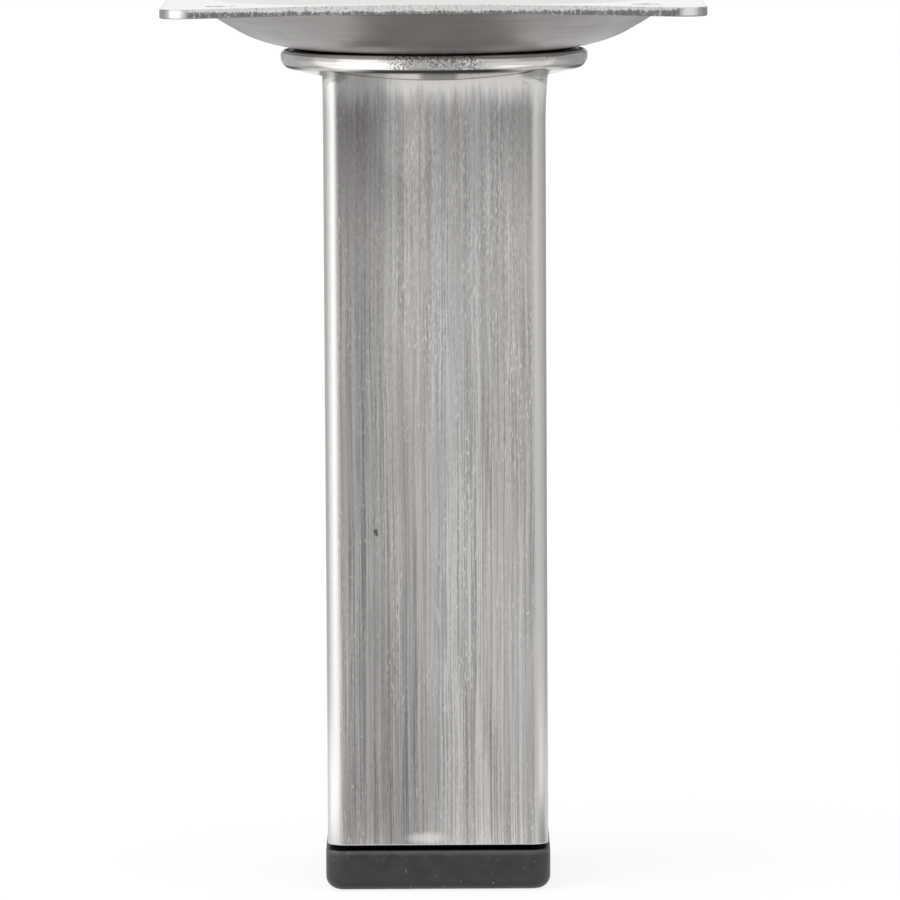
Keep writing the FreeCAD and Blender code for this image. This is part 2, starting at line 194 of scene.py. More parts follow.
# Level cards on the floor and overhead: their height, corners and level
LIFT = 0.002
LEVEL_CARDS = {
    "card_front": (LIFT, [(-0.03, -0.05), (0.03, -0.05), (1.3, -3.0), (-1.3, -3.0)], 0.55),
    "card_near_left": (LIFT, [(-0.07, 0.01), (-0.05, -0.10), (-0.11, -0.19), (-0.22, 0.045)], 1.75),
    "card_far_left": (LIFT, [(-0.21, -0.06), (-0.11, -0.19), (-0.45, -0.75), (-0.87, -0.25)], 1.7),
    "card_far_right": (LIFT, [(0.07, 0.01), (0.05, -0.10), (0.45, -0.75), (0.80, 0.12)], 0.75),
    "card_near_right": (2 * LIFT, [(0.073, -0.059), (0.18, -0.12), (0.21, -0.015), (0.089, -0.017)], 1.3),
    "card_under_right": (2 * LIFT, [(0.03, -0.03), (0.073, -0.059), (0.089, -0.017), (0.04, 0.0)], 0.4),
    "card_above": (0.7, [(-2.0, -2.0), (2.0, -2.0), (2.0, 2.0), (-2.0, 2.0)], 0.6),
    "card_overhead": (0.69, [(-0.7, -0.15), (0.7, -0.15), (0.7, 1.9), (-0.7, 1.9)], 0.95),
}

# The card far in front, and the pairs at the left and right behind the leg
WALL_HALF = 1.2
WALL_PLACE = -3.0
WALL_HEIGHT = 1.4
WALL_LEVEL = 0.55
SIDE_NEAR = (0.40, 0.07)
SIDE_FAR = (0.17, 1.20)
SIDE_HEIGHT = 0.25
BEHIND_CORNERS = [(0.16, 0.04), (0.60, 0.12), (0.60, 1.2), (0.03, 1.2)]
SIDE_LEVELS = {-1: ("left", 0.62), 1: ("right", 0.50)}

# Soft lamps: azimuth and elevation in degrees, distance, width, height, radiance and colour
SOFTBOXES = {
    "lamp_left": (-62, 24, 0.75, 1.0, 0.74, 2.0, (1.0, 1.0, 1.0)),
    "lamp_right": (64, 24, 0.75, 1.0, 0.74, 0.85, (1.0, 0.97, 0.94)),
    "lamp_top": (0, 88, 1.2, 1.2, 1.2, 1.0, (1.0, 1.0, 1.0)),
}

# The surround's level where it only gives light, and what is added where it is seen
SURROUND_LIGHT = 0.5
SURROUND_SEEN = 0.5


def add_camera():
    """The photograph's view: from the front, a little above the plate, looking slightly down."""
    data = bpy.data.cameras.new("camera")
    data.sensor_width = SENSOR_WIDTH
    data.lens = SENSOR_WIDTH * FOCAL_PIXELS / FRAME_PIXELS
    camera = bpy.data.objects.new("camera", data)
    bpy.context.scene.collection.objects.link(camera)
    place = Matrix.Translation(Vector((CAMERA_ASIDE, -CAMERA_DISTANCE, CAMERA_HEIGHT)))
    pitch = Matrix.Rotation(math.pi / 2 - CAMERA_PITCH, 4, "X")
    roll = Matrix.Rotation(CAMERA_ROLL, 4, "Z")
    camera.matrix_world = place @ pitch @ roll
    bpy.context.scene.camera = camera


def feed(tree, socket, value):
    """Link a socket to another one, or set its value."""
    if isinstance(value, bpy.types.NodeSocket):
        tree.links.new(value, socket)
    else:
        socket.default_value = value


def calculate(tree, operation, *values):
    """A number worked out from others."""
    node = tree.nodes.new("ShaderNodeMath")
    node.operation = operation
    for socket, value in zip(node.inputs, values):
        feed(tree, socket, value)
    return node.outputs[0]


class Finish:
    """A material built node by node. Its places are in millimetres, in the part's own frame."""

    def __init__(self, name):
        self.material = bpy.data.materials.new(name)
        self.material.use_nodes = True
        self.tree = self.material.node_tree
        self.shader = self.tree.nodes["Principled BSDF"]
        metres = self.add("ShaderNodeTexCoord").outputs["Object"]
        self.place = self.times(metres, (1 / MM, 1 / MM, 1 / MM))
        split = self.add("ShaderNodeSeparateXYZ")
        self.feed(split.inputs[0], self.place)
        self.x, self.y, self.z = split.outputs

    def add(self, kind, **settings):
        node = self.tree.nodes.new(kind)
        for name, value in settings.items():
            setattr(node, name, value)
        return node

    def feed(self, socket, value):
        feed(self.tree, socket, value)

    def set(self, name, value):
        self.feed(self.shader.inputs[name], value)

    def math(self, operation, *values):
        return calculate(self.tree, operation, *values)

    def product(self, first, *others):
        for other in others:
            first = self.math("MULTIPLY", first, other)
        return first

    def largest(self, first, *others):
        for other in others:
            first = self.math("MAXIMUM", first, other)
        return first

    def size(self, value):
        return self.math("ABSOLUTE", value)

    def squares(self, first, second):
        """The sum of two squares."""
        return self.math("MULTIPLY_ADD", first, first, self.product(second, second))

    def across(self):
        """The smaller distance from the two middle planes, which grows along a side towards its corners."""
        return self.math("MINIMUM", self.size(self.x), self.size(self.y))

    def oval(self, x, z, half_x, half_z):
        """0 in the middle of an oval in front, and 1 at its edge."""
        aside = self.math("DIVIDE", self.math("SUBTRACT", self.x, x), half_x)
        above = self.math("DIVIDE", self.math("SUBTRACT", self.z, z), half_z)
        return self.squares(aside, above)

    def vector(self, operation, first, second):
        node = self.add("ShaderNodeVectorMath", operation=operation)
        self.feed(node.inputs[0], first)
        self.feed(node.inputs[1], second)
        return node.outputs[0]

    def times(self, place, factors):
        return self.vector("MULTIPLY", place, factors)

    def length(self, place):
        node = self.add("ShaderNodeVectorMath", operation="LENGTH")
        self.feed(node.inputs[0], place)
        return node.outputs["Value"]

    def point(self, x, y, z):
        node = self.add("ShaderNodeCombineXYZ")
        for socket, value in zip(node.inputs, (x, y, z)):
            self.feed(socket, value)
        return node.outputs[0]

    def noise_node(self, scales, detail, roughness, place):
        """Noise with so many waves per millimetre along each axis."""
        node = self.add("ShaderNodeTexNoise")
        waves = self.times(self.place if place is None else place, scales)
        self.feed(node.inputs["Vector"], waves)
        node.inputs["Scale"].default_value = 1.0
        node.inputs["Detail"].default_value = detail
        node.inputs["Roughness"].default_value = roughness
        return node

    def noise(self, scales, detail=2.0, roughness=0.5, place=None):
        return self.noise_node(scales, detail, roughness, place).outputs["Fac"]

    def fade(self, value, start, end, low=0.0, high=1.0):
        """A soft step: low before the start, high past the end, which may lie below the start."""
        node = self.add("ShaderNodeMapRange", interpolation_type="SMOOTHSTEP")
        names = ("Value", "From Min", "From Max", "To Min", "To Max")
        for name, number in zip(names, (value, start, end, low, high)):
            self.feed(node.inputs[name], number)
        return node.outputs["Result"]

    def blend(self, share, first, second):
        """A number between two others."""
        node = self.add("ShaderNodeMix", data_type="FLOAT")
        for socket, value in zip((node.inputs[0], node.inputs[2], node.inputs[3]), (share, first, second)):
            self.feed(socket, value)
        return node.outputs[0]

    def mix(self, share, first, second, kind="MIX"):
        """A colour between two others."""
        node = self.add("ShaderNodeMix", data_type="RGBA", blend_type=kind)
        for socket, value in zip((node.inputs[0], node.inputs[6], node.inputs[7]), (share, first, second)):
            if isinstance(value, tuple) and len(value) == 3:
                value = (*value, 1.0)
            self.feed(socket, value)
        return node.outputs[2]

    def darken(self, colour, level):
        """A colour at another level."""
        grey = self.add("ShaderNodeCombineColor")
        for socket in grey.inputs:
            self.feed(socket, level)
        return self.mix(1.0, colour, grey.outputs[0], "MULTIPLY")

    def bump(self, height, depth, strength=1.0):
        node = self.add("ShaderNodeBump")
        self.feed(node.inputs["Height"], height)
        self.feed(node.inputs["Strength"], strength)
        node.inputs["Distance"].default_value = depth * MM
        self.set("Normal", node.outputs[0])


def brushed_steel():
    """The tube: brushed lengthwise on its flats, smoother at its corners and just under the collar."""
    finish = Finish("brushed_steel")
    strokes = brush_strokes(finish)
    corner, band = unbrushed(finish)
    depth = finish.math("SUBTRACT", 1.0, finish.product(finish.largest(corner, band), 0.9))

    # Colour: strokes, a slight drift between warmer and cooler grey, and a broad uneven tone, with painted
    # shade and light in front
    warm = finish.fade(finish.noise((0.45, 0.45, 0.012)), 0.40, 0.60)
    tint = finish.mix(warm, TINT_COOL, TINT_WARM)
    brushed = finish.mix(1.0, finish.mix(strokes, STROKE_DARK, STROKE_LIGHT), tint, "MULTIPLY")
    brushed = finish.darken(brushed, brushed_tone_and_shade(finish))
    # The bare band under the collar and spot by the foot, painted brighter as a highlight
    colour = finish.mix(depth, finish.mix(band, BARE_CORNER, BARE_BAND_HIGHLIGHT), brushed)
    # Dark marks at the upper corners, weld stains and painted shade by the collar, and a small pit
    colour = finish.mix(tube_stains_and_shade(finish), colour, WELD_STAIN_SHADE)
    # The cut end at the foot: a burr, painted lighter as a highlight
    burr_highlight = finish.fade(finish.z, TUBE_FOOT + 0.35, TUBE_FOOT + 0.15)
    finish.set("Base Color", finish.mix(burr_highlight, colour, CUT_END_HIGHLIGHT))

    finish.set("Metallic", 1.0)
    finish.set("Anisotropic", 0.6)
    finish.set("Tangent", finish.add("ShaderNodeTangent", direction_type="RADIAL", axis="Z").outputs[0])
    rough = finish.fade(strokes, 0.0, 1.0, 0.42, 0.34)
    finish.set("Roughness", finish.blend(depth, finish.blend(band, 0.26, 0.50), rough))
    finish.bump(strokes, 0.015, finish.largest(depth, finish.product(band, 0.7)))
    return finish.material


def brushed_tone_and_shade(finish):
    """How light the brushed flats are: uneven all round, and in front painted shade towards the left, the top
    and the upper right, with painted light lower on the right and a painted glow high up.
    """
    cloud = finish.noise((0.07, 0.07, 0.02))
    level = finish.fade(cloud, 0.3, 0.7, 0.99, 1.10)
    wander = finish.math("MULTIPLY_ADD", cloud, 10.0, finish.x)
    shift = finish.fade(finish.z, 60.0, 20.0, 0.0, 5.0)
    left = finish.fade(finish.math("SUBTRACT", wander, shift), 3.0, -7.0)
    right = finish.fade(wander, 11.0, 18.0)
    high = finish.fade(finish.z, 108.0, 140.0)
    # Painted shade in front towards the left, the top and the upper right, and painted light lower on the
    # right
    shade = finish.math("MULTIPLY_ADD", high, 0.20, finish.product(left, 0.25))
    shade = finish.math("MULTIPLY_ADD", finish.product(high, left), 0.16, shade)
    shade = finish.math("MULTIPLY_ADD", right, -0.06, shade)
    shade = finish.math("MULTIPLY_ADD", finish.product(high, right), 0.20, shade)
    # Painted light: a glow high up in front
    shade = finish.math("SUBTRACT", shade, finish.fade(finish.oval(**PAINTED_GLOW), 1.8, 0.1, 0.0, 0.20))
    front = finish.fade(finish.y, -TUBE_HALF + 2.5, -TUBE_HALF + 1.0)
    return finish.product(level, finish.math("SUBTRACT", 1.0, finish.product(shade, front)))


def brush_strokes(finish):
    """Lengthwise strokes, from 0 to 1: fainter and grainier higher up, stronger where the brush bit."""
    path = brush_path(finish)
    calm = finish.fade(finish.z, FAINT_START, FAINT_END, 1.0, 0.55)
    coarse = finish.fade(finish.z, FAINT_START, FAINT_END, 0.42, 0.76)
    uneven = finish.product(finish.math("SUBTRACT", stroke_lines(finish, path), LINES_MEAN), calm)
    grit = finish.noise((6.0, 6.0, 0.9), 3.0, 0.65, path)
    uneven = finish.math("MULTIPLY_ADD", finish.math("SUBTRACT", grit, 0.5), coarse, uneven)
    uneven = finish.math("ADD", uneven, stroke_ticks(finish, path))
    bite = finish.fade(finish.noise((0.3, 0.3, 0.03), place=path), 0.35, 0.65, 0.65, 1.35)
    strokes = finish.fade(finish.math("MULTIPLY_ADD", uneven, bite, STROKE_MEAN), 0.25, 0.95)
    return finish.largest(strokes, cross_scratches(finish))


def brush_path(finish):
    """Places shifted a little sideways, so that the strokes are not quite straight."""
    drift = finish.noise_node((0.05, 0.05, 0.02), 1.0, 0.5, finish.place)
    aside = finish.vector("SUBTRACT", drift.outputs["Color"], (0.5, 0.5, 0.5))
    return finish.vector("ADD", finish.place, finish.times(aside, (1.0, 1.0, 0.0)))


def stroke_lines(finish, path):
    """Long lines of several widths, and shorter dashes."""
    lines = finish.product(finish.noise((0.45, 0.45, 0.006), place=path), 0.20)
    fine = ((1.4, 1.4, 0.006), 3.0, 0.65, 0.22)
    hair = ((4.6, 4.6, 0.010), 2.0, 0.6, 0.24)
    dash = ((3.7, 3.7, 0.06), 2.0, 0.6, 0.15)
    for scales, detail, roughness, weight in (fine, hair, dash):
        layer = finish.fade(finish.noise(scales, detail, roughness, path), 0.36, 0.64)
        lines = finish.math("MULTIPLY_ADD", layer, weight, lines)
    return lines


def stroke_ticks(finish, path):
    """Short marks among the strokes: light ones in flocks, and fainter dark ones."""
    tick = finish.noise((4.0, 4.0, 0.8), 0.0, place=path)
    flock = finish.fade(finish.noise((0.16, 0.16, 0.05), place=path), 0.42, 0.60)
    light = finish.product(finish.fade(tick, 0.68, 0.78, 0.0, 0.40), flock)
    return finish.math("SUBTRACT", light, finish.fade(tick, 0.28, 0.20, 0.0, 0.10))


def cross_scratches(finish):
    """A few longer scratches, in clusters, that cross the strokes at a slight slant."""
    lean = finish.product(finish.z, 0.07)
    slanted = finish.vector("ADD", finish.place, finish.point(lean, lean, 0.0))
    scratch = finish.fade(finish.noise((2.4, 2.4, 0.07), 1.0, place=slanted), 0.60, 0.70)
    cluster = finish.fade(finish.noise((0.09, 0.09, 0.03), 1.0), 0.52, 0.64)
    inward = finish.fade(finish.across(), 13.0, 10.0, 0.0, 0.7)
    return finish.product(scratch, cluster, inward)


def unbrushed(finish):
    """Where the brush did not reach: the corners, a band under the collar and a spot by the foot. The band is
    held back towards the left as painted shade.
    """
    flat_half = TUBE_HALF - TUBE_CORNER
    corner = finish.fade(finish.across(), flat_half + 0.3, flat_half + 1.2)
    ragged = finish.noise((1.6, 1.6, 0.1), 4.0, 0.6)
    reach = finish.math("MULTIPLY_ADD", ragged, 7.0, finish.z)
    # Painted shade: less of the bright band towards the left
    shaded_left = finish.fade(finish.math("MULTIPLY_ADD", ragged, 6.0, finish.x), -9.0, -1.0, 0.45, 1.0)
    band = finish.product(finish.fade(reach, TUBE_TOP - 5.0, TUBE_TOP + 1.5), shaded_left)
    spot = finish.math("MULTIPLY_ADD", ragged, 1.6, finish.oval(**BARE_HIGHLIGHT_SPOT))
    front = finish.fade(finish.y, -TUBE_HALF + 1.0, -TUBE_HALF + 0.5)
    spot = finish.product(finish.fade(spot, 2.6, 0.6, 0.0, 0.9), front)
    return corner, finish.largest(band, spot)


def tube_stains_and_shade(finish):
    """1 in the dark marks at the tube's upper corners, partly stains left by the weld and partly painted
    shade where the tube meets the collar, and in a small pit.
    """
    corner = finish.fade(finish.across(), TUBE_HALF - 5.0, TUBE_HALF - 3.4)
    patch = finish.noise((0.7, 0.7, 1.3))
    high = finish.fade(finish.z, TUBE_TOP - 2.8, TUBE_TOP - 1.4)
    corner_stain_shade = finish.product(corner, high, finish.fade(patch, 0.45, 0.65, 0.0, 0.6))
    seam_shade = finish.math("MULTIPLY_ADD", patch, 1.2, finish.z)
    seam_shade = finish.product(corner, finish.fade(seam_shade, TUBE_TOP - 1.4, TUBE_TOP - 0.2, 0.0, 0.6))
    away = finish.times(finish.vector("SUBTRACT", finish.place, PIT_PLACE), (1.0, 1.0, 0.5))
    pit = finish.fade(finish.math("ADD", finish.length(away), patch), 1.0, 0.75)
    return finish.largest(corner_stain_shade, seam_shade, pit)


def satin_plating(name, dark, light, rough_dark, rough_light):
    """Plated sheet with a soft sheen, faint rings from pressing and a fine grain."""
    finish = Finish(name)
    finish.radius = finish.length(finish.times(finish.place, (1.0, 1.0, 0.0)))
    along = finish.point(finish.radius, finish.x, finish.y)
    rings = finish.noise((1.4, 0.05, 0.05), 3.0, place=along)
    grain = finish.noise((6.0, 6.0, 6.0))
    tone = finish.math("MULTIPLY_ADD", rings, 0.4, finish.product(grain, 0.6))
    finish.tone = finish.fade(tone, 0.3, 0.7)
    level = finish.fade(finish.noise((0.16, 0.16, 0.16), 4.0), 0.3, 0.7, 0.94, 1.05)
    finish.colour = finish.darken(finish.mix(finish.tone, dark, light), level)
    finish.rough = finish.blend(finish.tone, rough_dark, rough_light)
    finish.set("Metallic", 1.0)
    return finish


def plate_finish():
    """The mounting plate: satin plating, with the torn grain of a sheared edge on its straight sides, and
    painted light and shade on its top, holes, corners, edges and dish.
    """
    finish = satin_plating("plated_plate", PLATE_DARK, PLATE_LIGHT, 0.40, 0.33)
    sheared, rounded = plate_edge(finish)
    grain = torn_grain_glints(finish)
    lit_top = facing_up(finish)

    # Colour: painted shade in the slot over the collar and on the dish's outer wall, painted light on top and
    # in the screw holes, and a painted highlight and shade round the corners
    # Painted shade on the dish's outer wall
    wall_shade = finish.fade(finish.radius, DISH_WALL_FOOT, DISH_WALL_HEAD, 1.02, 0.92)
    colour = finish.darken(finish.colour, wall_shade)
    low = finish.fade(finish.z, DISH_FLOOR + 0.35, DISH_FLOOR + 0.1)
    slot = finish.product(finish.fade(finish.radius, 22.8, 23.6), low, 0.85)
    colour = finish.mix(slot, colour, SLOT_SHADE)
    # Painted light on the faces that look up
    colour = finish.mix(lit_top, colour, finish.mix(finish.tone, LIT_TOP_DARK, LIT_TOP_LIGHT))
    # A painted highlight and painted shade round the corners
    colour = finish.mix(rounded, colour, corner_highlight_shade(finish))
    # Painted light in the screw holes and on their rims, as on the top
    colour = finish.mix(screw_holes(finish), colour, LIT_HOLE)
    # Torn grain on the sheared edge, with painted glints and painted light on its upper part
    finish.set("Base Color", finish.mix(sheared, colour, finish.mix(grain, TORN_DARK, TORN_GRAIN_GLINT)))

    rough = finish.blend(lit_top, finish.rough, finish.product(finish.rough, 0.5))
    rough = finish.blend(rounded, rough, 0.24)
    finish.set("Roughness", finish.blend(sheared, rough, 0.4))
    finish.bump(finish.blend(sheared, finish.product(finish.tone, 0.03), grain), 0.08)
    return finish.material


def plate_edge(finish):
    """1 on the plate's sheared straight edges, and 1 on its round corners."""
    past = [finish.largest(finish.math("SUBTRACT", finish.size(along), PLATE_HALF - PLATE_CORNER), 0.0)
            for along in (finish.x, finish.y)]
    out = finish.fade(finish.math("SQRT", finish.squares(*past)), PLATE_CORNER - 0.35, PLATE_CORNER - 0.2)
    straight = finish.fade(finish.across(), PLATE_HALF - 4.4, PLATE_HALF - 5.4)
    sheared = finish.product(out, straight)
    return sheared, finish.math("SUBTRACT", out, sheared)


def torn_grain_glints(finish):
    """Torn grain of a sheared edge, from 0 to 1, its light flecks partly painted glints, and lighter above a
    wavy line as painted light.
    """
    torn = finish.noise((2.2, 2.2, 1.0), 4.0, 0.7)
    crumb = finish.noise((4.5, 4.5, 3.5))
    grain = finish.math("MULTIPLY_ADD", torn, 0.55, finish.product(crumb, 0.45))
    line = finish.math("MULTIPLY_ADD", finish.noise((0.35, 0.35, 0.0)), 0.9, finish.z)
    # Painted light on the edge's upper part
    upper = finish.fade(line, PLATE_TOP - 0.60, PLATE_TOP, -0.14, 0.10)
    return finish.fade(finish.math("ADD", grain, upper), 0.33, 0.67)


def facing_up(finish):
    """1 where the surface looks up."""
    facing = finish.add("ShaderNodeSeparateXYZ")
    finish.feed(facing.inputs[0], finish.add("ShaderNodeNewGeometry").outputs["Normal"])
    return finish.fade(facing.outputs[2], 0.4, 0.7)


def corner_highlight_shade(finish):
    """The plate's round corners: a painted highlight, greyer with painted shade towards the left and right,
    with a grey lip of painted shade below.
    """
    outer = finish.fade(finish.size(finish.x), PLATE_HALF - 2.1, PLATE_HALF - 1.3)
    lip = finish.fade(finish.z, PLATE_TOP - 1.62, PLATE_TOP - 1.78)
    return finish.mix(lip, finish.mix(outer, CORNER_HIGHLIGHT, CORNER_SHADE), CORNER_LIP_SHADE)


def screw_holes(finish):
    """1 in the plate's four screw holes and on their rims."""
    away = [finish.math("SUBTRACT", finish.size(along), PLATE_HALF - SCREW_INSET)
            for along in (finish.x, finish.y)]
    radius = finish.math("SQRT", finish.squares(*away))
    return finish.fade(radius, SCREW_RADIUS + 0.25, SCREW_RADIUS + 0.1)


def collar_finish():
    """The collar: brighter plating, roughened in patches round its rim, with painted shade by the weld, low
    on the rim and under the dish, and painted highlights on and under the rim in front.
    """
    finish = satin_plating("plated_collar", COLLAR_DARK, COLLAR_LIGHT, 0.15, 0.10)
    patch = finish.noise((0.10, 0.10, 0.10))
    crumb = finish.noise((2.6, 2.6, 2.6), 3.0, 0.65)
    on_rim = finish.fade(finish.z, RIM_LOW - 0.2, RIM_LOW + 0.2)
    worn = finish.product(finish.fade(finish.across(), 10.0, 6.0), finish.fade(patch, 0.36, 0.5), on_rim)
    dull = finish.product(worn, finish.fade(crumb, 0.46, 0.58))
    # Painted shade in a dark smear and a painted highlight beside it, under the rim
    shade_smear, highlight_spot = weld_shade_highlight(finish, crumb)
    # Painted shade: by the weld, low on the rim, under the dish and in the smear
    shade_mask = finish.largest(collar_shade(finish, patch), shade_smear)

    # Painted highlight: a bright band low on the rim in front
    colour = finish.mix(rim_highlight_band(finish), finish.colour, RIM_HIGHLIGHT)
    crumbs = finish.mix(finish.fade(crumb, 0.40, 0.60), CRUMB_LIGHT, CRUMB_DARK)
    colour = finish.mix(worn, colour, crumbs)
    # Painted highlight beside the dark smear
    colour = finish.mix(highlight_spot, colour, WELD_HIGHLIGHT)
    # Painted shade laid over the collar's colour
    finish.set("Base Color", finish.mix(shade_mask, colour, SHADE_DARK))
    finish.set("Roughness", finish.blend(finish.largest(dull, shade_mask), finish.rough, 0.45))
    finish.bump(finish.math("MULTIPLY_ADD", finish.tone, 0.3, finish.product(dull, 0.7)), 0.02)
    return finish.material


def rim_highlight_band(finish):
    """A painted highlight: a brighter band round the lower half of the rim, in front."""
    below = finish.fade(finish.z, RIM_MIDDLE - 0.2, RIM_MIDDLE - 0.6, 0.0, 0.9)
    above = finish.fade(finish.z, RIM_LOW + 0.45, RIM_LOW + 0.85)
    return finish.product(below, above, finish.fade(finish.y, -9.0, -17.0))


def collar_shade(finish, patch):
    """Painted shade: a dark line low on the rim over each side of the tube, and shade by the weld and under
    the dish.
    """
    above = finish.fade(finish.z, RIM_LOW - 0.38, RIM_LOW - 0.18)
    below = finish.fade(finish.z, RIM_LOW + 0.42, RIM_LOW + 0.18)
    over_side = finish.fade(finish.across(), 16.0, 9.0)
    line = finish.product(above, below, finish.fade(finish.radius, 24.6, 25.0), over_side)
    reach = finish.largest(finish.size(finish.x), finish.size(finish.y))
    weld = finish.fade(finish.math("MULTIPLY_ADD", patch, 1.6, reach), TUBE_HALF + 1.9, TUBE_HALF + 1.2)
    weld = finish.product(weld, finish.fade(finish.z, RIM_LOW, RIM_LOW - 0.4, 0.0, 0.9))
    return finish.largest(line, weld, finish.fade(finish.z, RIM_TOP - 0.10, RIM_TOP - 0.03))


def weld_shade_highlight(finish, crumb):
    """Painted shade in a dark smear and a painted highlight in a bright spot beside it, under the rim, in
    front.
    """
    under = finish.fade(finish.z, RIM_LOW - 0.1, RIM_LOW - 0.4)
    under = finish.product(under, finish.fade(finish.y, 0.0, -1.0))
    ragged = finish.math("MULTIPLY_ADD", crumb, 1.6, finish.x)
    shade_smear = finish.fade(finish.size(finish.math("SUBTRACT", ragged, 1.6)), 3.8, 2.4, 0.0, 0.65)
    highlight_spot = finish.fade(finish.size(finish.math("ADD", ragged, 5.4)), 6.5, 3.0, 0.0, 0.8)
    return finish.product(shade_smear, under), finish.product(highlight_spot, under)


def bright_zinc():
    """Bolt, washer and nut: bright zinc with a faint cool mottle."""
    finish = Finish("bright_zinc")
    mottle = finish.fade(finish.noise((0.5, 0.5, 0.5), 4.0), 0.35, 0.65)
    grain = finish.noise((6.0, 6.0, 6.0))
    finish.set("Base Color", finish.mix(mottle, ZINC_COOL, ZINC_WARM))
    finish.set("Metallic", 1.0)
    finish.set("Roughness", finish.fade(grain, 0.3, 0.7, 0.24, 0.36))
    finish.bump(grain, 0.01)
    return finish.material


def dark_plastic():
    """The foot cap: dark moulded plastic with a fine grain, scuffs and specks of dust, a painted highlight on
    its top edge, painted shade towards the bottom and a plug painted nearly black as shade in the gap.
    """
    finish = Finish("dark_plastic")
    grain = finish.noise((9.0, 9.0, 9.0))
    scuff = finish.noise((0.35, 0.35, 0.5), 5.0, 0.6)
    dust = finish.fade(finish.noise((1.9, 1.9, 1.9), 0.0), 0.80, 0.84)
    plug = finish.fade(finish.z, CAP_SHOULDER - 0.1, CAP_SHOULDER + 0.1)
    high = finish.math("MULTIPLY_ADD", scuff, 0.6, finish.z)
    # Painted highlight along the cap's top edge
    edge_highlight = finish.product(finish.fade(high, CAP_SHOULDER - 0.7, CAP_SHOULDER + 0.1),
                            finish.fade(finish.z, CAP_SHOULDER + 0.05, CAP_SHOULDER - 0.05, 0.0, 0.7))
    chafe = finish.fade(finish.noise((0.5, 0.5, 1.6), 4.0, 0.7), 0.58, 0.70, 0.0, 0.6)
    chafe = finish.product(chafe, finish.fade(finish.z, 2.5, 5.5))

    colour = finish.mix(finish.fade(scuff, 0.35, 0.7), PLASTIC_DARK, PLASTIC_LIGHT)
    colour = finish.mix(edge_highlight, colour, PLASTIC_EDGE_HIGHLIGHT)
    colour = finish.mix(chafe, colour, PLASTIC_CHAFED)
    # Painted shade towards the bottom of the cap
    colour = finish.mix(finish.fade(finish.z, 2.0, 0.6), colour, PLASTIC_LOW_SHADE)
    colour = finish.mix(dust, colour, DUST)
    # Painted shade: the plug in the gap made nearly black, with a weak sheen
    finish.set("Base Color", finish.mix(plug, colour, PLASTIC_PLUG_SHADE))
    finish.set("Specular IOR Level", finish.blend(plug, 0.5, 0.1))
    finish.set("Roughness", finish.fade(scuff, 0.3, 0.7, 0.32, 0.46))
    finish.bump(finish.math("MULTIPLY_ADD", grain, 0.5, finish.product(dust, 0.8)), 0.02)
    return finish.material


def seen_directly(tree):
    """1 for a ray from the camera, a reflection or glass, 0 for a ray that only carries light."""
    path = tree.nodes.new("ShaderNodeLightPath")
    seen = calculate(tree, "MAXIMUM", path.outputs["Is Camera Ray"], path.outputs["Is Glossy Ray"])
    return calculate(tree, "MAXIMUM", seen, path.outputs["Is Transmission Ray"])


def empty_material(name):
    """A material whose surface is still open, its node tree and its surface's socket."""
    material = bpy.data.materials.new(name)
    material.use_nodes = True
    tree = material.node_tree
    tree.nodes.remove(tree.nodes["Principled BSDF"])
    return material, tree, tree.nodes["Material Output"].inputs["Surface"]


def white_floor():
    """A white floor that keeps a soft shadow: part matt paper, part plain white where it is seen."""
    material, tree, surface = empty_material("white_floor")
    paper = tree.nodes.new("ShaderNodeBsdfDiffuse")
    paper.inputs["Color"].default_value = PAPER
    white = tree.nodes.new("ShaderNodeEmission")
    tree.links.new(white_level(tree), white.inputs["Strength"])
    mixed = tree.nodes.new("ShaderNodeMixShader")
    tree.links.new(calculate(tree, "MULTIPLY", seen_directly(tree), WHITE_SHARE), mixed.inputs[0])
    tree.links.new(paper.outputs[0], mixed.inputs[1])
    tree.links.new(white.outputs[0], mixed.inputs[2])
    tree.links.new(mixed.outputs[0], surface)
    return material


def white_level(tree):
    """Just white by the foot, where its shadow shows, and a little over further off."""
    away = tree.nodes.new("ShaderNodeVectorMath")
    away.operation = "LENGTH"
    tree.links.new(tree.nodes.new("ShaderNodeTexCoord").outputs["Object"], away.inputs[0])
    level = tree.nodes.new("ShaderNodeMapRange")
    level.inputs["From Min"].default_value = WHITE_NEAR
    level.inputs["From Max"].default_value = WHITE_FAR
    level.inputs["To Min"].default_value = WHITE_NEAR_LEVEL
    level.inputs["To Max"].default_value = WHITE_FAR_LEVEL
    tree.links.new(away.outputs["Value"], level.inputs["Value"])
    return level.outputs["Result"]


def add_sheet(name, corners, material):
    """A flat four-cornered piece of the stage."""
    mesh = bpy.data.meshes.new(name)
    mesh.from_pydata(corners, [], [(0, 1, 2, 3)])
    mesh.materials.append(material)
    sheet = bpy.data.objects.new(name, mesh)
    bpy.context.scene.collection.objects.link(sheet)
    return sheet


def add_floor():
    corners = [(x * FLOOR_HALF, y * FLOOR_HALF, 0) for x, y in ((-1, -1), (1, -1), (1, 1), (-1, 1))]
    add_sheet("floor", corners, white_floor())


def add_card(name, corners, level):
    """A card of a set level that shows only in reflections, so that it leaves no mark on the floor."""
    material, tree, surface = empty_material(name)
    even = tree.nodes.new("ShaderNodeEmission")
    even.inputs["Strength"].default_value = level
    tree.links.new(even.outputs[0], surface)
    card = add_sheet(name, corners, material)
    card.visible_camera = False
    card.visible_diffuse = False
    card.visible_shadow = False


def upright(first, last, height):
    """Corners of an upright card over a line on the floor."""
    up = Vector((0, 0, height))
    return [first, last, last + up, first + up]


def around(azimuth, distance):
    """A place on the floor. Azimuth 0 is the camera's side, and grows to the right."""
    turn = math.radians(azimuth)
    return Vector((math.sin(turn), -math.cos(turn), 0)) * distance


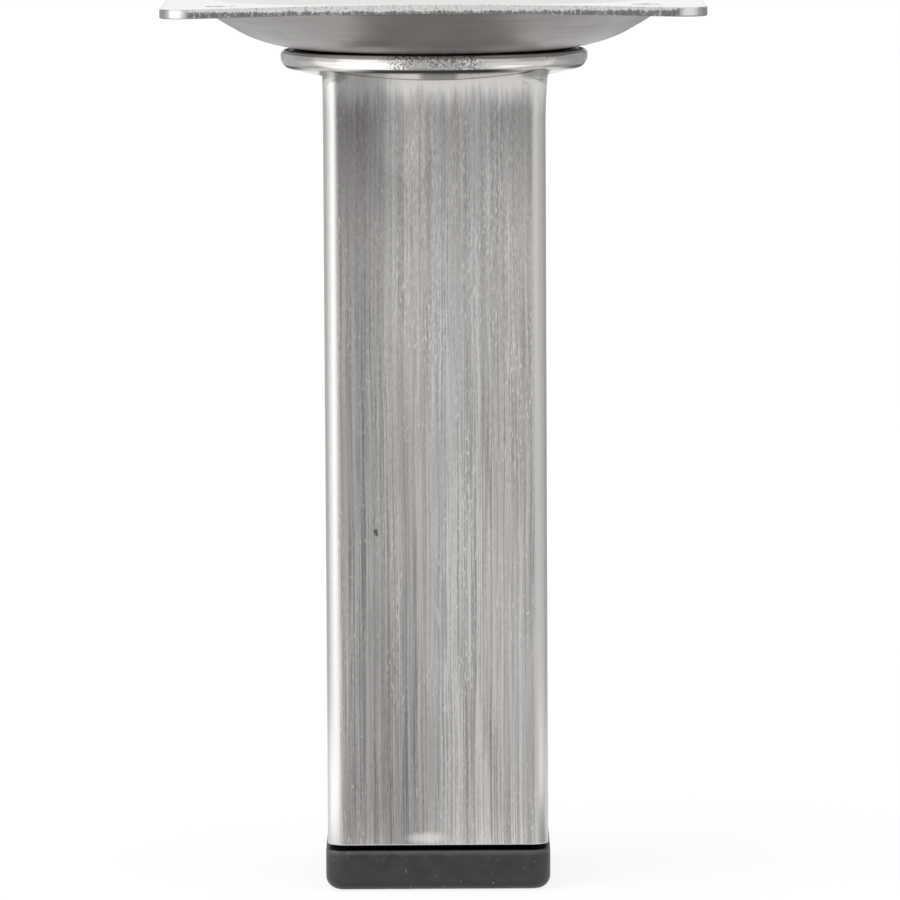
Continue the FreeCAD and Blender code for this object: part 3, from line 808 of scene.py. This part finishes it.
def add_cards():
    """Cards on the floor and around, which give the bright metal its light and dark fields."""
    for name, (start, end, level) in LAMP_CARDS.items():
        ends = [around(azimuth, LAMP_CARD_SIZE) for azimuth in (start, end)]
        add_card(name, upright(*ends, LAMP_CARD_SIZE), level)
    wall = [Vector((side * WALL_HALF, WALL_PLACE, 0)) for side in (-1, 1)]
    add_card("card_wall", upright(*wall, WALL_HEIGHT), WALL_LEVEL)
    for name, (height, corners, level) in LEVEL_CARDS.items():
        add_card(name, [(x, y, height) for x, y in corners], level)
    for side, (word, level) in SIDE_LEVELS.items():
        ends = [Vector((x * side, y, 0)) for x, y in (SIDE_NEAR, SIDE_FAR)]
        add_card("card_side_" + word, upright(*ends, SIDE_HEIGHT), level)
        add_card("card_behind_" + word, [(x * side, y, LIFT) for x, y in BEHIND_CORNERS], level)


def add_softbox(name, azimuth, elevation, distance, width, height, radiance, colour):
    """A soft area lamp that faces the leg and is not itself seen."""
    lamp = bpy.data.lights.new(name, "AREA")
    lamp.shape = "RECTANGLE"
    lamp.size = width
    lamp.size_y = height
    lamp.energy = radiance * math.pi * width * height
    lamp.color = colour
    rise = math.radians(elevation)
    away = around(azimuth, math.cos(rise)) + Vector((0, 0, math.sin(rise)))
    softbox = bpy.data.objects.new(name, lamp)
    bpy.context.scene.collection.objects.link(softbox)
    softbox.location = LEG_MIDDLE + away * distance
    softbox.rotation_euler = away.to_track_quat("Z", "Y").to_euler()
    softbox.visible_camera = False
    softbox.visible_glossy = False


def add_world():
    """A white surround, seen as white and lighting the leg more softly."""
    world = bpy.data.worlds.new("studio")
    bpy.context.scene.world = world
    world.use_nodes = True
    tree = world.node_tree
    background = tree.nodes["Background"]
    background.inputs["Color"].default_value = (1, 1, 1, 1)
    level = calculate(tree, "MULTIPLY_ADD", seen_directly(tree), SURROUND_SEEN, SURROUND_LIGHT)
    tree.links.new(level, background.inputs["Strength"])


def copy_refined(node, name, longest):
    """A welded copy of a node's mesh whose edges are no longer than a given length."""
    work = bmesh.new()
    work.from_mesh(nodes[node].data)
    bmesh.ops.remove_doubles(work, verts=work.verts, dist=SAME_POINT)
    for _ in range(MOST_CUTS):
        long_edges = [edge for edge in work.edges if edge.calc_length() > longest]
        if not long_edges:
            break
        bmesh.ops.subdivide_edges(work, edges=long_edges, cuts=1, use_grid_fill=True)
        bmesh.ops.triangulate(work, faces=[face for face in work.faces if len(face.verts) > 3])
    mesh = bpy.data.meshes.new(name)
    work.to_mesh(mesh)
    work.free()
    for layer in ("custom_normal", "sharp_edge", "sharp_face"):
        if layer in mesh.attributes:
            mesh.attributes.remove(mesh.attributes[layer])
    piece = bpy.data.objects.new(name, mesh)
    bpy.context.scene.collection.objects.link(piece)
    return piece


def take_place(piece, node, material):
    """Shade a changed copy smoothly between its real edges, and let it stand for its node."""
    mesh = piece.data
    mesh.polygons.foreach_set("use_smooth", [True] * len(mesh.polygons))
    mesh.set_sharp_from_angle(angle=SHARP_ANGLE)
    mesh.materials.clear()
    mesh.materials.append(material)
    weighted = piece.modifiers.new("weighted_normals", "WEIGHTED_NORMAL")
    weighted.keep_sharp = True
    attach(piece, "root")
    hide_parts(node)


def smooth_step(value, start, end):
    share = min(max((value - start) / (end - start), 0.0), 1.0)
    return share * share * (3 - 2 * share)


def bowed_plate():
    """The mounting plate as pressing and clamping left it."""
    piece = copy_refined("mounting_plate", "plate", PLATE_EDGE)
    half = PLATE_HIGH.x
    for vertex in piece.data.vertices:
        x = vertex.co.x / half
        y = vertex.co.y / half
        vertex.co.z += PLATE_RISE * (x ** 4 + y ** 4) - PLATE_DROOP * x * x * y * y
        radius = math.hypot(vertex.co.x, vertex.co.y) / MM
        sideways = (vertex.co.x / MM / max(radius, 1.0)) ** 2
        outside = smooth_step(radius, SLOT_INSIDE, SLOT_OUTSIDE)
        inside = smooth_step(radius, DISH_WALL_HEAD, DISH_WALL_FOOT)
        vertex.co.z += SLOT_LIFT * sideways * outside * inside
    take_place(piece, "mounting_plate", plate_finish())


def collar_underside(place):
    """Height of the collar's underside over a place, in millimetres: a cone, then the bend up to the rim."""
    radius = math.hypot(place.x, place.y) / MM
    if radius < BEND_START:
        return BEND_LOW - (BEND_START - radius) * math.tan(CONE_ANGLE)
    out = min(radius - BEND_CENTRE, BEND_RADIUS - 0.01)
    return BEND_MIDDLE - math.sqrt(BEND_RADIUS ** 2 - out ** 2)


def welded_tube():
    """The tube, slightly swollen at its upper corners by the weld. Its end follows the collar."""
    piece = copy_refined("leg_tube", "tube", TUBE_EDGE)
    for vertex in piece.data.vertices:
        side_x = math.copysign(1, vertex.co.x)
        side_y = math.copysign(1, vertex.co.y)
        across = min(abs(vertex.co.x), abs(vertex.co.y)) / MM
        high = smooth_step(vertex.co.z / MM, SWELL_START, SWELL_FULL)
        swell = WELD_SWELL[side_x, side_y] * high * smooth_step(across, TUBE_HALF - 6.0, TUBE_HALF - 2.0)
        old_end = collar_underside(vertex.co)
        vertex.co.x += side_x * swell
        new_end = collar_underside(vertex.co)
        vertex.co.z += (new_end - old_end) * MM * smooth_step(vertex.co.z / MM, old_end - 3.0, old_end - 0.1)
    take_place(piece, "leg_tube", brushed_steel())


def dress(node, material):
    for slot in nodes[node].material_slots:
        slot.material = material


add_camera()
add_floor()
add_cards()
for lamp_name, lamp_values in SOFTBOXES.items():
    add_softbox(lamp_name, *lamp_values)
add_world()
welded_tube()
bowed_plate()
dress("collar", collar_finish())
dress("foot_cap", dark_plastic())
zinc = bright_zinc()
for fastener in ("fixing_bolt", "flat_washer", "weld_nut"):
    dress(fastener, zinc)
bpy.context.scene.view_settings.view_transform = "Standard"
